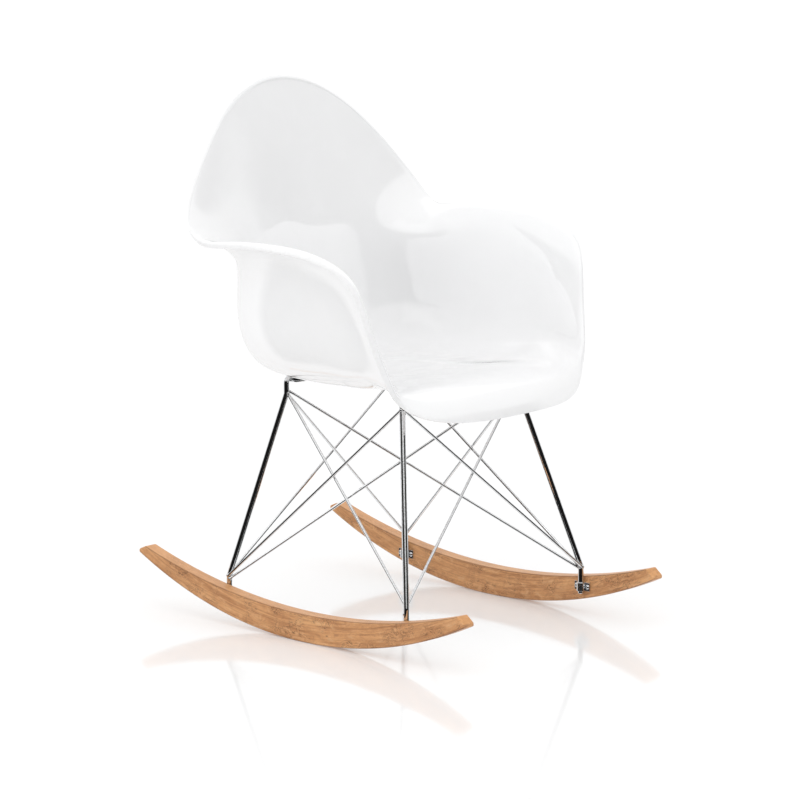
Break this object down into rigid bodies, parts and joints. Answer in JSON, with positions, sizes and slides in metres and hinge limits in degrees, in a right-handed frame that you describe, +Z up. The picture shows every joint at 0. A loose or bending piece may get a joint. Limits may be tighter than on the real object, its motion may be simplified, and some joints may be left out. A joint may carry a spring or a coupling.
{
  "type": "rocking chair",
  "caption": "Rocking armchair: one-piece moulded seat shell on a welded chromed rod base, clamped to two curved wooden rockers.",
  "frame": {"origin": "on the floor plane, centred under the chair's bounding box", "axes": "+Z up; the sitter faces -Y, so the rockers run along Y; +X towards the sitter's left"},
  "size_m": [0.5368, 0.692, 0.8294],
  "materials": {
    "shell": "gloss",
    "rod": "polished",
    "plate": "polished",
    "screw": "polished",
    "rubber": "matte",
    "rocker": "satin"
  },
  "bodies": {
    "root": {"diagonal_brace_from_front_left": "rod", "diagonal_brace_from_front_right": "rod", "diagonal_brace_from_rear_left": "rod", "diagonal_brace_from_rear_right": "rod", "front_brace_from_left": "rod", "front_brace_from_right": "rod", "leg_rod_front_left": "rod", "leg_rod_front_right": "rod", "leg_rod_rear_left": "rod", "leg_rod_rear_right": "rod", "mount_plate_front_left": "plate", "mount_plate_front_right": "plate", "mount_plate_rear_left": "plate", "mount_plate_rear_right": "plate", "rear_brace_from_left": "rod", "rear_brace_from_right": "rod", "rocker_left": "rocker", "rocker_right": "rocker", "rod_saddle_front_left": "plate", "rod_saddle_front_right": "plate", "rod_saddle_rear_left": "plate", "rod_saddle_rear_right": "plate", "rubber_mount_front_left": "rubber", "rubber_mount_front_right": "rubber", "rubber_mount_rear_left": "rubber", "rubber_mount_rear_right": "rubber", "saddle_screw_front_left_aft": "screw", "saddle_screw_front_left_fore": "screw", "saddle_screw_front_right_aft": "screw", "saddle_screw_front_right_fore": "screw", "saddle_screw_rear_left_aft": "screw", "saddle_screw_rear_left_fore": "screw", "saddle_screw_rear_right_aft": "screw", "saddle_screw_rear_right_fore": "screw", "seat_shell": "shell", "shell_screw_front_left": "screw", "shell_screw_front_right": "screw", "shell_screw_rear_left": "screw", "shell_screw_rear_right": "screw", "side_brace_left_from_front": "rod", "side_brace_left_from_rear": "rod", "side_brace_right_from_front": "rod", "side_brace_right_from_rear": "rod"}
  },
  "joints": []
}
